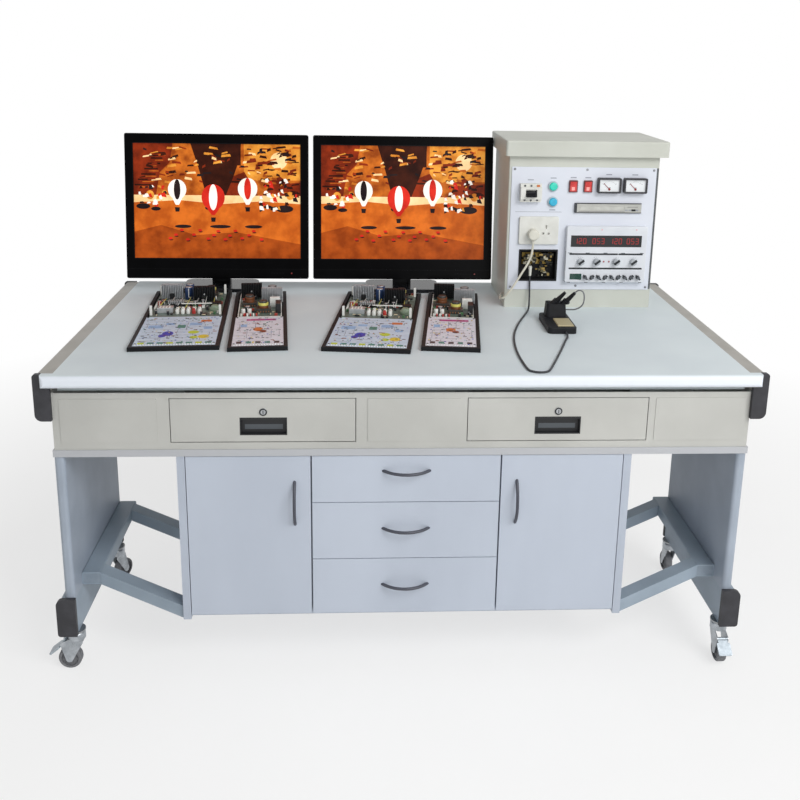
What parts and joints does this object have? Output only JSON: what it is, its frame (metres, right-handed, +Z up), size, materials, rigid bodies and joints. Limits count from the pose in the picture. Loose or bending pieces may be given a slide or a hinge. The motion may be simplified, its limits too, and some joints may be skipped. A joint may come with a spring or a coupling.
{
  "type": "television assembly trainer",
  "caption": "School electronics bench with drawers, cabinet and casters, carrying tilting television sets, open circuit boards, an instrument console and a soldering stand.",
  "frame": {"origin": "floor point under the middle of the bench", "axes": "+X along the bench to the console's side, +Y from the drawer fronts to the back, +Z up"},
  "size_m": [1.8405, 0.9815, 1.345],
  "materials": {
    "laminate": "satin laminate",
    "nosing_white": "satin",
    "rail_grey": "satin paint",
    "cap_black": "moulded",
    "housing_cream": "fine powder coat",
    "frame_grey": "powder coat",
    "cabinet_grey": "satin paint",
    "leg_grey": "satin paint",
    "fitting_steel": "zinc",
    "handle_dark": "satin",
    "caster_plastic": "moulded",
    "tyre_black": "matte",
    "tv_black": "gloss",
    "stand_black": "gloss",
    "console_cream": "powder coat",
    "panel_white": "printed",
    "device_white": "moulded",
    "device_black": "moulded",
    "button_green": "gloss",
    "button_blue": "gloss",
    "rocker_red": "gloss",
    "rocker_green": "gloss",
    "bezel_black": "moulded",
    "needle_red": "matte",
    "player_silver": "satin",
    "tray_silver": "satin",
    "jack_brass": "worn",
    "supply_grey": "satin",
    "terminal_grey": "moulded",
    "knob_dark": "moulded",
    "tray_black": "moulded",
    "board_green": "solder mask",
    "component_mix": "mixed",
    "solder_black": "moulded",
    "plug_white": "moulded",
    "cord_white": "matte",
    "cord_grey": "matte"
  },
  "bodies": {
    "root": {"worktop": "laminate", "side_rails": "rail_grey", "end_caps": "cap_black", "drawer_housing": "housing_cream", "leg_panels": "leg_grey", "base_frame": "frame_grey", "cabinet_carcass": "cabinet_grey", "steel_fittings": "fitting_steel", "tv_stands": "stand_black", "console_case": "console_cream", "console_panel": "panel_white", "circuit_breaker": "device_white", "panel_bezels": "bezel_black", "disc_player": "player_silver", "socket_plate": "device_white", "jack_window": "device_black", "power_supply": "supply_grey", "supply_terminals": "terminal_grey", "soldering_stand": "solder_black", "board_trays": "tray_black", "circuit_boards": "board_green", "board_components": "component_mix", "power_cord": "cord_white", "power_plug": "plug_white", "iron_cord": "cord_grey"},
    "tv_left": {"tv_left": "tv_black"},
    "tv_right": {"tv_right": "tv_black"},
    "desk_drawer_left": {"desk_drawer_left": "housing_cream"},
    "desk_drawer_right": {"desk_drawer_right": "housing_cream"},
    "drawer_lock_left": {"drawer_lock_left": "fitting_steel"},
    "drawer_lock_right": {"drawer_lock_right": "fitting_steel"},
    "cabinet_drawer_top": {"cabinet_drawer_top": "cabinet_grey"},
    "cabinet_drawer_middle": {"cabinet_drawer_middle": "cabinet_grey"},
    "cabinet_drawer_bottom": {"cabinet_drawer_bottom": "cabinet_grey"},
    "door_left": {"door_left": "cabinet_grey"},
    "door_right": {"door_right": "cabinet_grey"},
    "caster_fork_front_left": {"caster_fork_front_left": "caster_plastic"},
    "caster_fork_front_right": {"caster_fork_front_right": "caster_plastic"},
    "caster_fork_rear_left": {"caster_fork_rear_left": "caster_plastic"},
    "caster_fork_rear_right": {"caster_fork_rear_right": "caster_plastic"},
    "wheel_front_left": {"wheel_front_left": "tyre_black"},
    "wheel_front_right": {"wheel_front_right": "tyre_black"},
    "wheel_rear_left": {"wheel_rear_left": "tyre_black"},
    "wheel_rear_right": {"wheel_rear_right": "tyre_black"},
    "brake_pedal_front_left": {"brake_pedal_front_left": "caster_plastic"},
    "brake_pedal_front_right": {"brake_pedal_front_right": "caster_plastic"},
    "breaker_lever": {"breaker_lever": "device_black"},
    "green_button": {"green_button": "button_green"},
    "blue_button": {"blue_button": "button_blue"},
    "rocker_left": {"rocker_left": "rocker_red"},
    "rocker_right": {"rocker_right": "rocker_red"},
    "needle_left": {"needle_left": "needle_red"},
    "needle_right": {"needle_right": "needle_red"},
    "disc_tray": {"disc_tray": "tray_silver"},
    "eject_button": {"eject_button": "device_black"},
    "supply_knob_1": {"supply_knob_1": "knob_dark"},
    "supply_knob_2": {"supply_knob_2": "knob_dark"},
    "supply_knob_3": {"supply_knob_3": "knob_dark"},
    "supply_knob_4": {"supply_knob_4": "knob_dark"},
    "supply_rocker": {"supply_rocker": "rocker_green"}
  },
  "joints": [
    {"name": "tv_left_tilt", "type": "hinge", "parent": "root", "child": "tv_left", "pos_m": [-0.579, 0.43668, 0.91981], "axis": [1, 0, 0], "range_deg": [-10, 8]},
    {"name": "tv_right_tilt", "type": "hinge", "parent": "root", "child": "tv_right", "pos_m": [0.018, 0.43668, 0.91981], "axis": [1, 0, 0], "range_deg": [-10, 8]},
    {"name": "desk_drawer_left_slide", "type": "slide", "parent": "root", "child": "desk_drawer_left", "axis": [0, -1, 0], "range_m": [0, 0.3]},
    {"name": "desk_drawer_right_slide", "type": "slide", "parent": "root", "child": "desk_drawer_right", "axis": [0, -1, 0], "range_m": [0, 0.3]},
    {"name": "drawer_lock_left_turn", "type": "hinge", "parent": "desk_drawer_left", "child": "drawer_lock_left", "pos_m": [-0.358, -0.445, 0.7265], "axis": [0, 1, 0], "range_deg": [0, 90]},
    {"name": "drawer_lock_right_turn", "type": "hinge", "parent": "desk_drawer_right", "child": "drawer_lock_right", "pos_m": [0.38, -0.445, 0.7265], "axis": [0, 1, 0], "range_deg": [0, 90]},
    {"name": "cabinet_drawer_top_slide", "type": "slide", "parent": "root", "child": "cabinet_drawer_top", "axis": [0, -1, 0], "range_m": [0, 0.28]},
    {"name": "cabinet_drawer_middle_slide", "type": "slide", "parent": "root", "child": "cabinet_drawer_middle", "axis": [0, -1, 0], "range_m": [0, 0.28]},
    {"name": "cabinet_drawer_bottom_slide", "type": "slide", "parent": "root", "child": "cabinet_drawer_bottom", "axis": [0, -1, 0], "range_m": [0, 0.28]},
    {"name": "door_left_swing", "type": "hinge", "parent": "root", "child": "door_left", "pos_m": [-0.555, -0.445, 0.38], "axis": [0, 0, -1], "range_deg": [0, 110]},
    {"name": "door_right_swing", "type": "hinge", "parent": "root", "child": "door_right", "pos_m": [0.555, -0.445, 0.38], "axis": [0, 0, 1], "range_deg": [0, 110]},
    {"name": "caster_front_left_swivel", "type": "hinge", "parent": "root", "child": "caster_fork_front_left", "pos_m": [-0.86, -0.42, 0.1], "axis": [0, 0, 1], "continuous": true},
    {"name": "wheel_front_left_roll", "type": "hinge", "parent": "caster_fork_front_left", "child": "wheel_front_left", "pos_m": [-0.88, -0.42, 0.03], "axis": [0, -1, 0], "continuous": true},
    {"name": "brake_pedal_front_left_press", "type": "hinge", "parent": "caster_fork_front_left", "child": "brake_pedal_front_left", "pos_m": [-0.895, -0.42, 0.073], "axis": [0, -1, 0], "range_deg": [0, 20]},
    {"name": "caster_front_right_swivel", "type": "hinge", "parent": "root", "child": "caster_fork_front_right", "pos_m": [0.86, -0.42, 0.1], "axis": [0, 0, 1], "continuous": true},
    {"name": "wheel_front_right_roll", "type": "hinge", "parent": "caster_fork_front_right", "child": "wheel_front_right", "pos_m": [0.86, -0.44, 0.03], "axis": [1, 0, 0], "continuous": true},
    {"name": "brake_pedal_front_right_press", "type": "hinge", "parent": "caster_fork_front_right", "child": "brake_pedal_front_right", "pos_m": [0.86, -0.455, 0.073], "axis": [1, 0, 0], "range_deg": [0, 20]},
    {"name": "caster_rear_left_swivel", "type": "hinge", "parent": "root", "child": "caster_fork_rear_left", "pos_m": [-0.86, 0.008, 0.1], "axis": [0, 0, 1], "continuous": true},
    {"name": "wheel_rear_left_roll", "type": "hinge", "parent": "caster_fork_rear_left", "child": "wheel_rear_left", "pos_m": [-0.85, 0.02532, 0.03], "axis": [-0.866, 0.5, 0], "continuous": true},
    {"name": "caster_rear_right_swivel", "type": "hinge", "parent": "root", "child": "caster_fork_rear_right", "pos_m": [0.86, 0.008, 0.1], "axis": [0, 0, 1], "continuous": true},
    {"name": "wheel_rear_right_roll", "type": "hinge", "parent": "caster_fork_rear_right", "child": "wheel_rear_right", "pos_m": [0.86, 0.028, 0.03], "axis": [-1, 0, 0], "continuous": true},
    {"name": "breaker_lever_flip", "type": "hinge", "parent": "root", "child": "breaker_lever", "pos_m": [0.392, 0.154, 1.1885], "axis": [-1, 0, 0], "range_deg": [0, 50]},
    {"name": "green_button_press", "type": "slide", "parent": "root", "child": "green_button", "axis": [0, 1, 0], "range_m": [0, 0.003], "stiffness_N_per_m": 400},
    {"name": "blue_button_press", "type": "slide", "parent": "root", "child": "blue_button", "axis": [0, 1, 0], "range_m": [0, 0.003], "stiffness_N_per_m": 400},
    {"name": "rocker_left_rock", "type": "hinge", "parent": "root", "child": "rocker_left", "pos_m": [0.522, 0.167, 1.208], "axis": [-1, 0, 0], "range_deg": [0, 14]},
    {"name": "rocker_right_rock", "type": "hinge", "parent": "root", "child": "rocker_right", "pos_m": [0.567, 0.167, 1.208], "axis": [-1, 0, 0], "range_deg": [0, 14]},
    {"name": "needle_left_swing", "type": "hinge", "parent": "root", "child": "needle_left", "pos_m": [0.6305, 0.155, 1.201], "axis": [0, 1, 0], "range_deg": [0, 90], "stiffness_Nm_per_rad": 0.002},
    {"name": "needle_right_swing", "type": "hinge", "parent": "root", "child": "needle_right", "pos_m": [0.7105, 0.155, 1.201], "axis": [0, 1, 0], "range_deg": [0, 90], "stiffness_Nm_per_rad": 0.002},
    {"name": "disc_tray_slide", "type": "slide", "parent": "root", "child": "disc_tray", "axis": [0, -1, 0], "range_m": [0, 0.12]},
    {"name": "eject_button_press", "type": "slide", "parent": "root", "child": "eject_button", "axis": [0, 1, 0], "range_m": [0, 0.0015], "stiffness_N_per_m": 400},
    {"name": "supply_knob_1_turn", "type": "hinge", "parent": "root", "child": "supply_knob_1", "pos_m": [0.554, 0.154, 0.979], "axis": [0, 1, 0], "range_deg": [0, 270]},
    {"name": "supply_knob_2_turn", "type": "hinge", "parent": "root", "child": "supply_knob_2", "pos_m": [0.604, 0.154, 0.979], "axis": [0, 1, 0], "range_deg": [0, 270]},
    {"name": "supply_knob_3_turn", "type": "hinge", "parent": "root", "child": "supply_knob_3", "pos_m": [0.664, 0.154, 0.979], "axis": [0, 1, 0], "range_deg": [0, 270]},
    {"name": "supply_knob_4_turn", "type": "hinge", "parent": "root", "child": "supply_knob_4", "pos_m": [0.717, 0.154, 0.979], "axis": [0, 1, 0], "range_deg": [0, 270]},
    {"name": "supply_rocker_rock", "type": "hinge", "parent": "root", "child": "supply_rocker", "pos_m": [0.5415, 0.156, 0.931], "axis": [0, 0, 1], "range_deg": [0, 14]}
  ]
}
